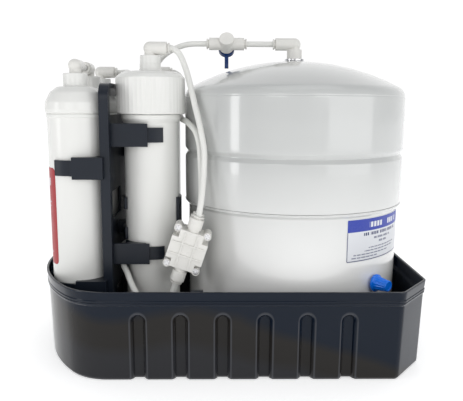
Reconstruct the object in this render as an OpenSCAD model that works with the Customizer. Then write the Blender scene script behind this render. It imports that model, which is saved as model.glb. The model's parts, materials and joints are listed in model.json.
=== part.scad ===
// Compact under-sink reverse osmosis unit: filters, membrane and tank standing in a tray.
// Millimetres. +X runs from the filters to the tank, +Y to the back, +Z up.
// The origin is the middle of the tray's underside.

/* [Tray] */
// Overall length of the tray, along X
tray_l = 422; // [418:1:430]
// Overall depth of the tray, along Y
tray_d = 284; // [282:1:292]
// Height of the tray's rim
tray_h = 94; // [88:1:100]
// Thickness of the tray's wall and floor
tray_wall = 2; // [1.6:0.1:2.2]
// Height of the smooth band below the rim
band_h = 14; // [8:1:20]
// Width of one upright channel in the tray's long walls
channel_w = 14; // [8:1:18]
// Number of channels along each long wall
channel_count = 6; // [2:1:6]

/* [Tank] */
// Outside diameter of the tank's upper half
tank_d = 252.6; // [248:0.2:253]
// Height of the top of the tank's dome
tank_top = 325.5; // [318:0.5:330]
// Thickness of the tank's steel
tank_wall = 1.5; // [1:0.1:2]
// Height of the joint between the two halves
seam_z = 168; // [160:1:175]
// Height of the pressed groove
groove_z = 223; // [210:1:235]

/* [Filters] */
// Outside diameter of an inline filter's body
filter_d = 60.8; // [56:0.2:60.8]
// Distance between neighbouring inline filters
filter_pitch = 65; // [65:0.5:66]
// Outside diameter of the membrane housing's body
membrane_d = 59.2; // [56:0.2:59.4]
// Outside diameter of the membrane housing's ribbed cap
membrane_cap_d = 76; // [70:1:76]
// Number of grip ribs round the membrane cap
cap_ribs = 48; // [24:4:60]

/* [Tubing] */
// Outside diameter of the quarter inch tubing
tube_d = 6.35; // [6:0.05:6.35]
// Travel of a fitting's release collet
collet_travel = 1.5; // [1:0.1:1.5]

/* [Ball valve] */
// Length of the lever from the stem's axis
lever_l = 25; // [20:1:32]

/* [Hidden] */
$fn = 96;
CUT = 1;              // how far a cutting shape passes through a face

// tray
half_l = tray_l / 2;
half_d = tray_d / 2;
body_in = 3;          // the wall stands this far inside the rim band
floor_in = 4.5;       // the tray's foot stands this far inside the rim band
nose_r = 187;         // radius of the rounded end
nose_x = nose_r - half_l;
fillet_r = 58;        // radius between the rounded end and the long walls
fillet_y = half_d - fillet_r;
fillet_x = nose_x - sqrt(pow(nose_r - fillet_r, 2) - fillet_y * fillet_y);
chamfer_x = 36;
chamfer_y = 44;
channel_depth = 5.5;
channel_top = 70;
channel_pitch = 42.2;
channel_x0 = -89.7;   // first channel
gusset_w = 12;
gusset_x = -31;

// tank
tank_x = 76.8;
tank_r = tank_d / 2;
lower_r = tank_r - 4;         // the lower half slips inside the upper one
shoulder_r = 15;              // radius between the side and the dome
shoulder_z = 283;             // where the straight side ends
shoulder_x = tank_r - shoulder_r;
dome_h = tank_top - shoulder_z;
// Radius of the dome, which runs smoothly into the shoulder
dome_r = (shoulder_x * shoulder_x + dome_h * dome_h - shoulder_r * shoulder_r)
    / (2 * (dome_h - shoulder_r));
foot_r = 30;                  // radius between the side and the bottom
belly_z = 9;                  // underside of the tank's bottom
groove_r = 4;                 // radius of the groove's section
groove_depth = 2.6;
hem_h = 3;                    // height of the seam's hem
nipple_r = 6.5;
nipple_top = 334;
air_angle = -50.3;            // direction of the air valve round the tank
air_z = 90;
label_from = -69;             // tank label, round the tank
label_to = -21.5;
label_z = [116, 161];
label_t = 0.3;

// filters
filter_r = filter_d / 2;
filter_cap_r = filter_r + 1.4;
filter_x = -160.2;
prefilter_y = [-filter_pitch, 0, filter_pitch];
post_pos = [-90, 58];
filter_low = 70;              // lower end of the straight body
filter_high = 264;            // upper end of the straight body
cap_straight = 11;            // straight part of an end cap
cap_slope = 18;               // sloping part of an end cap
cap_neck_r = 21;
boss_r = 12.6;
boss_h = 14;
filter_wall = 2.6;
elbow_z = 315;                // height of the fittings' horizontal legs
boss_top = filter_high + cap_straight + cap_slope + boss_h;
elbow_drop = elbow_z - boss_top + 9;
port_z = 27;                  // underside of the lower end bosses

// membrane housing
mem_pos = [-83.6, -50];
mem_r = membrane_d / 2;
mem_cap_r = membrane_cap_d / 2;
mem_bottom = 36;
mem_cap_z = 265.4;
mem_cap_top = 308;
mem_collar_r = 32;
mem_boss_r = 11.3;
mem_boss_top = 327;
mem_elbow_z = 334.5;

// bracket
plate_x = [-127.8, -125.2];
plate_y = [-93, 98];
plate_top = 296;
plate_corner = 15;            // radius of the plate's upper corners
post_w = 9.6;
post_d = 10;
post_x = (plate_x[0] + plate_x[1] - post_w) / 2;
post_y = [plate_y[0] - 1, plate_y[1] + 1 - post_d];
arm_t = 4.5;                  // thickness of the arms that reach from the post
ring_t = 2.6;                 // thickness of a clip's ring
ring_gap = 0.15;              // room between a clip and what it holds

// push-in fittings
leg_r = 7;
leg_l = 18;
stem_r = 6;
bore_r = 2.4;
collet_r = 4.9;
socket_r = collet_r + 0.05;
socket_l = 11;
collet_bore_r = 3.45;
collet_in = 6;                // length of the collet inside the fitting
flange_r = 6;
flange_t = 1.4;
flange_gap = collet_travel + 0.1;
collet_out = flange_gap + flange_t;

// tank elbow and ball valve
tank_elbow_reach = 22;
valve_reach = 20;
valve_pos = [-1.5, 0, 344.5];
valve_tilt = -120;            // turns the stem's axis to the back and down
ball_r = 5.2;
valve_stem_r = 2.5;

// four-way valve
shutoff_pos = [-42.2, -99, 128.6];
shutoff_lean = 18.5;
shutoff_t = 30;
port_gap = 15;                // between the front and the back pair of ports
port_reach = 34;              // from the valve's centre to the mouth of a port
port_r = 7.4;
port_neck_r = 6.2;
screw_x = 15.6;
screw_z = 19.4;
ear_r = 4.2;
ear_y = 10;                   // front face of the screw ears

// Routes of the tubes. Each starts and ends inside the fitting that holds it.
tank_link_route = [[14, 0, 344.5], [24, 0, 344.5], [37, 0, 344.5], [49, 0, 344.5], [59, 0, 344.5]];
filter_link_route = [[-160.2, -51, 315], [-160.2, -41, 315], [-160.2, -32.5, 315],
    [-160.2, -24, 315], [-160.2, -14, 315]];
membrane_feed_route = [[-70, -50, 334.5], [-63, -50, 334.5], [-60, -50, 334.5], [-52, -53, 328.5],
    [-45.5, -58, 314], [-41, -63, 299], [-35, -73, 275], [-29, -84, 252], [-25, -91, 228],
    [-25.5, -96, 202], [-27.5, -103, 180], [-29.7, -106.5, 166], [-30.7, -106.5, 163],
    [-33, -106.5, 156.1]];
tank_line_route = [[-17, 0, 344.5], [-24, 0, 344.5], [-28, 0, 344.5], [-46, 1, 343.8], [-62, 5, 339],
    [-75, 11, 331.5], [-83, 19, 323.5], [-88, 28, 317.5], [-90, 35, 315], [-90, 38, 315],
    [-90, 45, 315]];
product_route = [[-77, 58, 315], [-69, 58, 315], [-66, 58, 315], [-59, 53, 310], [-56, 42, 300],
    [-56, 26, 287], [-57, 6, 274], [-55, -15, 264.5], [-51, -34, 259.5], [-44.5, -53, 257],
    [-35, -73, 248.5], [-30.5, -80, 236], [-29, -84, 222], [-28, -87, 200], [-28, -90.5, 181],
    [-29.7, -91.5, 166], [-30.7, -91.5, 163], [-33, -91.5, 156.1]];
feed_route = [[-51.4, -106.5, 101.1], [-53.7, -106.5, 94.2], [-54.7, -106.5, 91.2],
    [-60, -107.5, 76], [-68, -109, 65], [-79, -108, 63], [-89, -104, 71], [-98, -97, 81],
    [-104, -88, 89], [-108.5, -80, 96], [-114, -72, 104], [-116, -60, 112], [-118, -44, 118],
    [-112, -25, 121], [-113, -10, 128], [-116, 3, 139], [-117.5, 10, 156], [-117.5, 12, 180],
    [-117.5, 12, 215], [-117, 12, 250], [-116, 13, 284], [-117, 26, 303], [-121, 45, 313],
    [-127, 60, 315.2], [-135, 65, 315], [-139, 65, 315], [-147, 65, 315]];

TRAY_BLACK = "#1e2227";
BRACKET_BLACK = "#2a313c";
WHITE = "#eef0ee";
FITTING_WHITE = "#f4f4f0";
STEEL = "#c9ccce";
BLUE = "#1f4f9c";
RED = "#c0343a";

// ---------- shared shapes ----------

function unit(v) = v / norm(v);

// A point of a smooth curve through b and c, a share u of the way from b to c.
function between(a, b, c, d, u) =
    0.5 * (2 * b + (c - a) * u + (2 * a - 5 * b + 4 * c - d) * u * u
        + (3 * b - a - 3 * c + d) * u * u * u);

function smooth(p, steps) =
    let (n = len(p))
    concat([for (i = [0 : n - 2]) for (s = [0 : steps - 1])
        between(p[max(i - 1, 0)], p[i], p[i + 1], p[min(i + 2, n - 1)], s / steps)], [p[n - 1]]);

function heading(p, i) = unit(p[min(i + 1, len(p) - 1)] - p[max(i - 1, 0)]);

// A round tube along a route, with its rings turned as little as possible.
module swept_tube(route, d, steps = 2, sides = 10) {
    p = smooth(route, steps);
    n = len(p);
    start = unit(cross(heading(p, 0), [0.3, 0.5, 0.8]));
    across = [for (i = 0, v = start; i < n; i = i + 1,
        v = i < n ? unit(v - heading(p, i) * (v * heading(p, i))) : v) v];
    rings = [for (i = [0 : n - 1]) for (k = [0 : sides - 1])
        let (t = heading(p, i), u = across[i], w = cross(t, u), a = 360 * k / sides)
        p[i] + (u * cos(a) + w * sin(a)) * d / 2];
    sidewalls = [for (i = [0 : n - 2]) for (k = [0 : sides - 1])
        let (m = (k + 1) % sides, a = i * sides, b = a + sides) [a + k, b + k, b + m, a + m]];
    ends = [[for (k = [0 : sides - 1]) k],
            [for (k = [sides - 1 : -1 : 0]) (n - 1) * sides + k]];
    polyhedron(rings, concat(sidewalls, ends), convexity = 10);
}

// A part of a ring round Z from angle a to angle b, with rectangular section.
module arc_band(inner, outer, h, a, b) {
    rotate([0, 0, a]) rotate_extrude(angle = b - a)
        translate([inner, 0]) square([outer - inner, h]);
}

// A stepped push-in socket whose mouth is at the origin and which goes in along -X.
module socket() {
    rotate([0, -90, 0]) {
        translate([0, 0, -CUT]) cylinder(r = socket_r, h = socket_l + CUT);
        cylinder(r = bore_r, h = leg_l);
    }
}

// A release collet in a socket whose mouth is at the origin, with its flange towards +X.
module collet() {
    color(FITTING_WHITE) rotate([0, 90, 0]) difference() {
        union() {
            translate([0, 0, -collet_in]) cylinder(r = collet_r, h = collet_in + flange_gap);
            translate([0, 0, flange_gap]) cylinder(r = flange_r, h = flange_t);
        }
        translate([0, 0, -collet_in - CUT])
            cylinder(r = collet_bore_r, h = collet_in + collet_out + 2 * CUT);
    }
}

// One horizontal leg from the origin to its mouth at x = reach.
module leg(reach) {
    rotate([0, 90, 0]) cylinder(r = leg_r, h = reach);
}

// An elbow: a stem that goes down by `drop` and a leg along +X of length `reach`.
module elbow(drop, reach) {
    color(FITTING_WHITE) difference() {
        union() {
            translate([0, 0, -drop]) cylinder(r = stem_r, h = drop);
            sphere(r = leg_r);
            leg(reach);
        }
        translate([reach, 0, 0]) socket();
        translate([0, 0, -drop - CUT]) cylinder(r = bore_r, h = drop + CUT);
    }
}

// ---------- tray ----------

// Points of an arc round `centre` from angle a to angle b.
function arc(centre, r, a, b, steps) =
    [for (i = [0 : steps]) let (t = a + (b - a) * i / steps) centre + r * [cos(t), sin(t)]];

// The tray seen from above, with every side moved in by `d`.
module tray_outline(d) {
    turn = atan2(fillet_y, fillet_x - nose_x);
    nose_step = 3;
    intersection() {
        polygon(concat(
            [[half_l - d, d - half_d], [half_l - d, half_d - d]],
            arc([fillet_x, fillet_y], fillet_r - d, 90, turn, 10),
            arc([nose_x, 0], nose_r - d, turn + nose_step, 360 - turn - nose_step, 24),
            arc([fillet_x, -fillet_y], fillet_r - d, 360 - turn, 270, 10)));
        corner_cuts(d);
    }
}

// Everything inside the two slanting corners at the +X end.
module corner_cuts(d) {
    intersection() {
        corner_cut(d);
        mirror([0, 1]) corner_cut(d);
    }
}

module corner_cut(d) {
    translate([half_l - chamfer_x, -half_d]) rotate(atan2(chamfer_y, chamfer_x))
        translate([-tray_l, d]) square([2 * tray_l, 2 * tray_l]);
}

// An upright bar with a round top, used to shape the channels.
module channel_bar(w, top, depth) {
    translate([0, depth, 0]) rotate([90, 0, 0]) linear_extrude(depth) union() {
        translate([-w / 2, 0]) square([w, top - w / 2]);
        translate([0, top - w / 2]) circle(d = w);
    }
}

module each_channel() {
    for (side = [0, 1], i = [0 : channel_count - 1])
        mirror([0, side, 0])
            translate([channel_x0 + i * channel_pitch, body_in - half_d, 0]) children();
}

module base_tray() {
    inner = body_in + tray_wall;
    rim_z = tray_h - band_h;
    color(TRAY_BLACK) difference() {
        union() {
            difference() {
                union() {
                    linear_extrude(tray_wall) tray_outline(floor_in);
                    translate([0, 0, tray_wall]) linear_extrude(rim_z - tray_wall)
                        tray_outline(body_in);
                    translate([0, 0, rim_z]) linear_extrude(2) tray_outline(0.4);
                    translate([0, 0, rim_z + 2]) linear_extrude(1) tray_outline(1);
                    translate([0, 0, rim_z + 3]) linear_extrude(band_h - 3) tray_outline(0);
                }
                translate([0, 0, tray_wall]) linear_extrude(tray_h) tray_outline(inner);
                translate([0, 0, rim_z + 2]) linear_extrude(tray_h) tray_outline(2.6);
            }
            each_channel() translate([0, 0, tray_wall])
                channel_bar(channel_w + 4, channel_top, channel_depth + tray_wall);
            for (side = [0, 1]) mirror([0, side, 0]) tray_gusset(inner);
        }
        each_channel() translate([0, -CUT, -CUT])
            channel_bar(channel_w, channel_top - 1, channel_depth + CUT);
    }
}

// An upright stiffener behind a long wall, with a tab that reaches to the rim.
module tray_gusset(inner) {
    top = tray_h - 1;
    translate([gusset_x - gusset_w / 2, inner - half_d - 0.5, 0]) rotate([90, 0, 90])
        linear_extrude(gusset_w) polygon([[0, 20], [9, 20], [9, top], [4, top], [0, top - 17]]);
}

// ---------- bracket and clips ----------

module window(y, z) {
    translate([plate_x[0] - CUT, y[0], z[0]])
        cube([plate_x[1] - plate_x[0] + 2 * CUT, y[1] - y[0], z[1] - z[0]]);
}

// An upright sheet across X from the tray's floor to z = top, with rounded upper corners.
module rounded_sheet(y, top, corner, x, thick) {
    translate([x, 0, 0]) rotate([90, 0, 90]) linear_extrude(thick) union() {
        translate([y[0], tray_wall]) square([y[1] - y[0], top - tray_wall - corner]);
        translate([y[0] + corner, tray_wall]) square([y[1] - y[0] - 2 * corner, top - tray_wall]);
        for (centre = [y[0] + corner, y[1] - corner])
            translate([centre, top - corner]) circle(r = corner);
    }
}

// The posts, joined over the top by a narrow rim that follows the plate's corners.
module posts() {
    inner_corner = 10;
    rim_t = 4;
    y = [post_y[0], post_y[1] + post_d];
    inner_y = [post_y[0] + post_d, post_y[1]];
    top = plate_top + 1;
    difference() {
        rounded_sheet(y, top, plate_corner + 1, post_x, post_w);
        translate([0, 0, -tray_wall])
            rounded_sheet(inner_y, top - rim_t + tray_wall, inner_corner, post_x - CUT,
                post_w + 2 * CUT);
    }
}

module filter_bracket() {
    foot_w = 20;
    color(BRACKET_BLACK) {
        difference() {
            rounded_sheet(plate_y, plate_top, plate_corner, plate_x[0],
                plate_x[1] - plate_x[0]);
            window([-80, 27], [264, 284]);
            window([40, 84], [264, 284]);
            window([-64, -12], [152, 182]);
            window([50, 84], [128, 200]);
            window([-50, -8], [30, 72]);
            window([8, 60], [30, 72]);
        }
        posts();
        translate([post_x + (post_w - foot_w) / 2, plate_y[0], tray_wall])
            cube([foot_w, plate_y[1] - plate_y[0], 3]);
    }
}

// The plan of a clip: a ring with its arms as children, cut back to the bracket's front face.
module clear_of_bracket() {
    difference() {
        children();
        translate([plate_x[0], -half_d]) square([20, tray_d]);
        for (y = post_y) translate([post_x, y]) square([post_w, post_d]);
    }
}

// Makes a clip's tips thinner: everything on the -X side of `x` loses `step` above and below.
module thin_tips(x, h, step) {
    difference() {
        children();
        for (z = [-CUT, h - step])
            translate([x - tray_d, -half_d, z]) cube([tray_d, tray_d, step + CUT]);
    }
}

// The rings that hold the three pre-filters, open towards -X, with their lower face at z = 0.
module prefilter_rings(h) {
    r = filter_r + ring_gap;
    front_y = prefilter_y[0] - r - arm_t;
    thin_tips(filter_x + 1, h, 3.3) linear_extrude(h) clear_of_bracket() difference() {
        union() {
            for (y = prefilter_y) translate([filter_x, y]) circle(r = r + ring_t);
            translate([filter_x + 12, front_y])
                square([plate_x[0] - filter_x - 12, prefilter_y[2] + r - front_y]);
            translate([filter_x - 1, front_y]) square([20, arm_t - 0.6]);
        }
        for (y = prefilter_y) translate([filter_x, y]) circle(r = r);
        translate([filter_x - 18 - tray_d, -half_d]) square([tray_d, tray_d]);
    }
}

// The ring that holds the membrane housing, open towards +X and +Y, reached by a straight arm.
module membrane_ring(h) {
    r = mem_r + ring_gap;
    outer = r + ring_t;
    arm_l = mem_pos[0] - post_x - post_w;
    tip_step = 4.3;
    difference() {
        translate([mem_pos[0], mem_pos[1], 0]) linear_extrude(h) difference() {
            union() {
                intersection() {
                    circle(r = outer);
                    translate([-outer, -outer]) square([outer + 15.5, outer - 17]);
                }
                translate([-arm_l, -r - arm_t]) square([arm_l, arm_t - 0.6]);
                translate([12 - arm_l, -r - 1]) square([14, 5]);
            }
            circle(r = r);
        }
        for (z = [-CUT, h - tip_step])
            translate([mem_pos[0] - 4, mem_pos[1] - outer - CUT, z])
                cube([24, 24, tip_step + CUT]);
    }
}

// The ring that holds the post filter, open towards +X.
module post_ring(h) {
    r = filter_r + ring_gap;
    root = post_pos[0] - plate_x[1];
    translate([post_pos[0], post_pos[1], 0]) linear_extrude(h) difference() {
        union() {
            intersection() {
                circle(r = r + ring_t);
                translate([-root, -half_d]) square([root + 16, tray_d]);
            }
            translate([-root, -12]) square([8, 24]);
        }
        circle(r = r);
    }
}

module upper_filter_clips() {
    color(BRACKET_BLACK) {
        translate([0, 0, 199.5]) prefilter_rings(22.5);
        translate([0, 0, 232]) membrane_ring(24);
        translate([0, 0, 211]) post_ring(19);
    }
}

module lower_filter_clips() {
    color(BRACKET_BLACK) {
        translate([0, 0, 69.5]) prefilter_rings(22.5);
        translate([0, 0, 106.5]) membrane_ring(22.5);
        translate([0, 0, 82]) post_ring(19);
    }
}

// Two hooks that steady the membrane housing from behind, joined by a bar on the +X side.
module membrane_hooks() {
    r = mem_r + ring_gap;
    outer = r + ring_t;
    hook_h = 13;
    gap_h = 20;
    color(BRACKET_BLACK) translate([mem_pos[0], mem_pos[1], 130]) difference() {
        linear_extrude(2 * hook_h + gap_h) difference() {
            union() {
                intersection() {
                    circle(r = outer);
                    translate([-outer, 0]) square([2 * outer, outer]);
                }
                intersection() {
                    circle(r = outer);
                    translate([-outer, -16]) square([outer, 17]);
                }
                intersection() {
                    circle(r = outer);
                    translate([0, -12]) square([outer, 13]);
                }
                translate([plate_x[1] - mem_pos[0], 17]) square([28, 13]);
            }
            circle(r = r);
        }
        translate([-50, -outer, hook_h]) cube([50 + 24, 3 * outer, gap_h]);
        translate([-50, 16.5, hook_h + 5]) cube([22, outer, hook_h + gap_h]);
    }
}

// ---------- tank ----------

// Half section of the upper shell's outside, moved in by `d`.
module upper_section(d) {
    meet_x = shoulder_x * (dome_r - d) / (dome_r - shoulder_r);
    translate([0, seam_z]) square([tank_r - d, shoulder_z - seam_z]);
    translate([shoulder_x, shoulder_z]) circle(r = shoulder_r - d);
    intersection() {
        translate([0, tank_top - dome_r]) circle(r = dome_r - d, $fn = 240);
        translate([0, seam_z]) square([meet_x, tank_top - seam_z]);
    }
}

module tank_upper_shell() {
    groove_x = tank_r + groove_r - groove_depth;
    color(WHITE) translate([tank_x, 0, 0]) difference() {
        rotate_extrude($fn = 180) difference() {
            upper_section(0);
            difference() {
                upper_section(tank_wall);
                translate([groove_x, groove_z]) circle(r = groove_r + tank_wall);
            }
            translate([groove_x, groove_z]) circle(r = groove_r);
            translate([0, seam_z - CUT]) square([tank_r - tank_wall, 2 * CUT]);
        }
        translate([0, 0, tank_top - 20]) cylinder(r = nipple_r, h = 30);
    }
}

// Half section of the lower shell's outside, moved in by `d`.
module lower_section(d) {
    round_z = belly_z + foot_r;
    translate([0, round_z]) square([lower_r - d, seam_z - round_z]);
    translate([0, belly_z + d]) square([lower_r - foot_r, foot_r]);
    intersection() {
        translate([lower_r - foot_r, round_z]) circle(r = foot_r - d);
        square([tank_r, seam_z]);
    }
}

module tank_lower_shell() {
    hem_r = tank_r + 0.6;
    color(WHITE) translate([tank_x, 0, 0]) difference() {
        rotate_extrude($fn = 180) difference() {
            union() {
                lower_section(0);
                translate([0, seam_z - hem_h]) square([hem_r, hem_h]);
            }
            lower_section(tank_wall);
            translate([0, seam_z - hem_h - CUT]) square([lower_r - tank_wall, hem_h + 2 * CUT]);
        }
        rotate([0, 0, air_angle]) translate([lower_r - 8, 0, air_z]) rotate([0, 90, 0])
            cylinder(r = 4, h = 16);
    }
}

module tank_bladder() {
    gap = 2.4;
    color("#3a3a3c") translate([tank_x, 0, 0]) difference() {
        rotate_extrude($fn = 120) intersection() {
            upper_section(tank_wall + gap + groove_depth);
            translate([0, seam_z + 6]) square([tank_r, tank_top]);
        }
        rotate_extrude($fn = 120) intersection() {
            upper_section(tank_wall + gap + groove_depth + 1.6);
            translate([0, seam_z + 7.6]) square([tank_r, tank_top]);
        }
        translate([0, 0, tank_top - 30]) cylinder(r = 3, h = 40);
    }
}

module tank_base_ring() {
    color(TRAY_BLACK) translate([tank_x, 0, tray_wall]) difference() {
        cylinder(r = 92, h = belly_z - tray_wall);
        translate([0, 0, -CUT]) cylinder(r = 84, h = belly_z + 2 * CUT);
    }
}

module tank_outlet_nipple() {
    color(STEEL) translate([tank_x, 0, 0]) difference() {
        union() {
            translate([0, 0, tank_top - 3]) cylinder(r = nipple_r - 0.05, h = 4);
            translate([0, 0, tank_top + 0.4]) cylinder(r = 11, h = 2);
            translate([0, 0, tank_top]) cylinder(r = nipple_r - 0.8, h = nipple_top - tank_top);
        }
        translate([0, 0, tank_top - 4]) cylinder(r = 2.5, h = 30);
    }
}

module tank_label() {
    color("#f2f4f8") translate([tank_x, 0, label_z[0]])
        arc_band(lower_r + 0.02, lower_r + label_t, label_z[1] - label_z[0], label_from, label_to);
}

// Puts its children on the air valve's axis, with +X pointing away from the tank.
module at_air_valve() {
    translate([tank_x, 0, air_z]) rotate([0, 0, air_angle]) translate([lower_r, 0, 0])
        children();
}

module air_valve_stem() {
    color(STEEL) at_air_valve() rotate([0, 90, 0]) difference() {
        union() {
            translate([0, 0, -5]) cylinder(r = 3.95, h = 5.5);
            translate([0, 0, 0.3]) cylinder(r = 6, h = 1.7);
            cylinder(r = 3.9, h = 17);
        }
        translate([0, 0, -6]) cylinder(r = 2, h = 24);
    }
}

module air_valve_pin() {
    color("#c8a24a") at_air_valve() rotate([0, 90, 0]) {
        translate([0, 0, 2]) cylinder(r = 1, h = 13.5);
        translate([0, 0, 4]) cylinder(r = 1.92, h = 4);
    }
}

module air_valve_cap() {
    color(BLUE) at_air_valve() rotate([0, 90, 0]) difference() {
        union() {
            translate([0, 0, 2.4]) cylinder(r = 9.5, h = 3);
            translate([0, 0, 5.4]) cylinder(r1 = 7.8, r2 = 5.6, h = 14.6);
        }
        translate([0, 0, 2]) cylinder(r = 3.95, h = 16);
    }
}

// ---------- tank elbow and ball valve ----------

module tank_elbow() {
    color(FITTING_WHITE) translate([tank_x, 0, valve_pos[2]]) difference() {
        union() {
            rotate([0, 0, 180]) elbow(valve_pos[2] - nipple_top + 6, tank_elbow_reach);
            translate([0, 0, tank_top + 2.5 - valve_pos[2]]) cylinder(r = 8.6, h = 10.5);
        }
        translate([0, 0, tank_top - valve_pos[2]])
            cylinder(r = nipple_r - 0.7, h = nipple_top - tank_top + 0.2);
    }
}

module tank_elbow_collet() {
    translate([tank_x - tank_elbow_reach, 0, valve_pos[2]]) rotate([0, 0, 180]) collet();
}

module at_valve() {
    translate(valve_pos) rotate([valve_tilt, 0, 0]) children();
}

module ball_valve_body() {
    color(FITTING_WHITE) at_valve() difference() {
        union() {
            leg(valve_reach);
            rotate([0, 0, 180]) leg(valve_reach);
            translate([0, 0, -10.5]) cylinder(r = 8.3, h = 17.5);
        }
        for (a = [0, 180]) rotate([0, 0, a]) translate([valve_reach, 0, 0]) socket();
        sphere(r = ball_r + 0.1);
        cylinder(r = valve_stem_r + 0.05, h = 12);
    }
}

module ball_valve_ball() {
    color("#d9dbdc") at_valve() difference() {
        sphere(r = ball_r);
        rotate([90, 0, 0]) cylinder(r = 2.2, h = 14, center = true);
        translate([-1, -2.4, ball_r - 1.2]) cube([2, 4.8, 3]);
    }
}

module ball_valve_lever() {
    hub_z = 8.2;
    blade_w = 4.4;
    color(BLUE) at_valve() {
        translate([-0.95, -2.2, ball_r - 1.1]) cube([1.9, 4.4, 1.3]);
        translate([0, 0, ball_r + 0.05]) cylinder(r = valve_stem_r, h = 4);
        translate([0, 0, hub_z]) cylinder(r = 9.2, h = 5);
        difference() {
            translate([-blade_w / 2, 0, hub_z + 1]) cube([blade_w, lever_l, 3]);
            translate([-1, 9, hub_z + 3]) cube([2, lever_l - 12, 3]);
        }
    }
}

module ball_valve_tank_collet() {
    at_valve() translate([valve_reach, 0, 0]) collet();
}

module ball_valve_line_collet() {
    at_valve() rotate([0, 0, 180]) translate([valve_reach, 0, 0]) collet();
}

// ---------- membrane housing ----------

module at_membrane() {
    translate([mem_pos[0], mem_pos[1], 0]) children();
}

module membrane_housing() {
    color(WHITE) at_membrane() difference() {
        union() {
            translate([0, 0, mem_bottom]) cylinder(r = mem_r, h = mem_cap_z - mem_bottom);
            translate([0, 0, mem_cap_z - 9]) cylinder(r1 = mem_r, r2 = mem_collar_r, h = 4);
            translate([0, 0, mem_cap_z - 5]) cylinder(r = mem_collar_r, h = 4.7);
            translate([0, 0, mem_cap_z - 2]) cylinder(r = mem_r, h = 32);
            for (x = [-13, 13]) translate([x, 0, port_z]) cylinder(r = 8.5, h = 12);
        }
        translate([0, 0, mem_bottom + 4]) cylinder(r = mem_r - 3, h = mem_cap_top);
        for (x = [-13, 13]) translate([x, 0, port_z - CUT]) cylinder(r = 5, h = 12);
        for (x = [-13, 13]) translate([x, 0, port_z]) cylinder(r = 2, h = 20);
    }
}

module membrane_cap() {
    rib_r = 1;
    skirt_r = mem_cap_r - rib_r;
    color(WHITE) at_membrane() difference() {
        union() {
            translate([0, 0, mem_cap_z]) cylinder(r = skirt_r, h = mem_cap_top - mem_cap_z - 4);
            translate([0, 0, mem_cap_top - 4]) cylinder(r1 = skirt_r, r2 = 33, h = 4);
            translate([0, 0, mem_cap_top]) cylinder(r1 = 33, r2 = mem_boss_r, h = 4);
            translate([0, 0, mem_cap_top]) cylinder(r = mem_boss_r, h = mem_boss_top - mem_cap_top);
            for (i = [0 : cap_ribs - 1]) rotate([0, 0, 360 * i / cap_ribs])
                translate([skirt_r - 1, -0.9, mem_cap_z]) cube([1.9, 1.8, 36]);
        }
        translate([0, 0, mem_cap_z - CUT]) cylinder(r = mem_r + 0.1, h = 34);
        translate([0, 0, mem_cap_z]) cylinder(r = 24, h = 38);
        translate([0, 0, mem_cap_z]) cylinder(r = 2.5, h = 80);
        translate([0, 0, mem_boss_top - 12]) cylinder(r = stem_r + 0.05, h = 20);
    }
}

module membrane_cap_seal() {
    color("#26282b") at_membrane() translate([0, 0, mem_cap_z + 31.1]) rotate_extrude()
        translate([mem_r - 1.5, 0]) circle(r = 0.95, $fn = 24);
}

module membrane_element() {
    color("#dfe3e6") at_membrane() difference() {
        union() {
            translate([0, 0, mem_bottom + 12]) cylinder(r = 23.5, h = 230);
            translate([0, 0, mem_bottom + 4.2]) cylinder(r = 8.4, h = 254);
        }
        translate([0, 0, mem_bottom]) cylinder(r = 3, h = 300);
    }
}

module membrane_elbow() {
    translate([mem_pos[0], mem_pos[1], mem_elbow_z])
        elbow(mem_elbow_z - mem_boss_top + 10, leg_l);
}

module membrane_elbow_collet() {
    translate([mem_pos[0] + leg_l, mem_pos[1], mem_elbow_z]) collet();
}

// ---------- inline filters ----------

// One sealed inline filter housing standing on its axis, with a threaded boss at each end.
module filter_housing() {
    top = filter_high + cap_straight + cap_slope;
    low = filter_low - cap_straight - cap_slope;
    color(WHITE) difference() {
        union() {
            translate([0, 0, filter_low]) cylinder(r = filter_r, h = filter_high - filter_low);
            translate([0, 0, filter_high]) filter_end(filter_cap_r);
            translate([0, 0, filter_low]) mirror([0, 0, 1]) filter_end(filter_r);
        }
        translate([0, 0, filter_low]) cylinder(r = filter_r - filter_wall,
            h = filter_high - filter_low);
        for (end = [0, 1]) translate([0, 0, end ? top + boss_h - 11 : low - boss_h - CUT])
            cylinder(r = stem_r + 0.05, h = 11 + CUT);
        translate([0, 0, low - boss_h]) cylinder(r = 2, h = top - low + 2 * boss_h);
    }
}

// The end cap of an inline filter: a groove, a straight rim, a slope and a boss.
module filter_end(r) {
    groove = 1.6;
    cylinder(r = r - 0.9, h = groove);
    translate([0, 0, groove]) cylinder(r = r, h = cap_straight - groove);
    translate([0, 0, cap_straight]) cylinder(r1 = r, r2 = cap_neck_r, h = cap_slope);
    translate([0, 0, cap_straight + cap_slope - 1]) cylinder(r = boss_r, h = boss_h + 1);
}

// The media block sealed inside an inline filter.
module filter_core(tint) {
    color(tint) difference() {
        translate([0, 0, filter_low + 6])
            cylinder(r = filter_r - filter_wall - 2, h = filter_high - filter_low - 12);
        translate([0, 0, filter_low]) cylinder(r = 6, h = filter_high);
    }
}

module sediment_filter_housing() { translate([filter_x, prefilter_y[0], 0]) filter_housing(); }
module sediment_filter_core() { translate([filter_x, prefilter_y[0], 0]) filter_core("#f0ece0"); }
module carbon_filter_housing() { translate([filter_x, prefilter_y[1], 0]) filter_housing(); }
module carbon_filter_core() { translate([filter_x, prefilter_y[1], 0]) filter_core("#303030"); }
module block_filter_housing() { translate([filter_x, prefilter_y[2], 0]) filter_housing(); }
module block_filter_core() { translate([filter_x, prefilter_y[2], 0]) filter_core("#242424"); }
module post_filter_housing() { translate([post_pos[0], post_pos[1], 0]) filter_housing(); }
module post_filter_core() { translate([post_pos[0], post_pos[1], 0]) filter_core("#2b2b2b"); }

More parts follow.
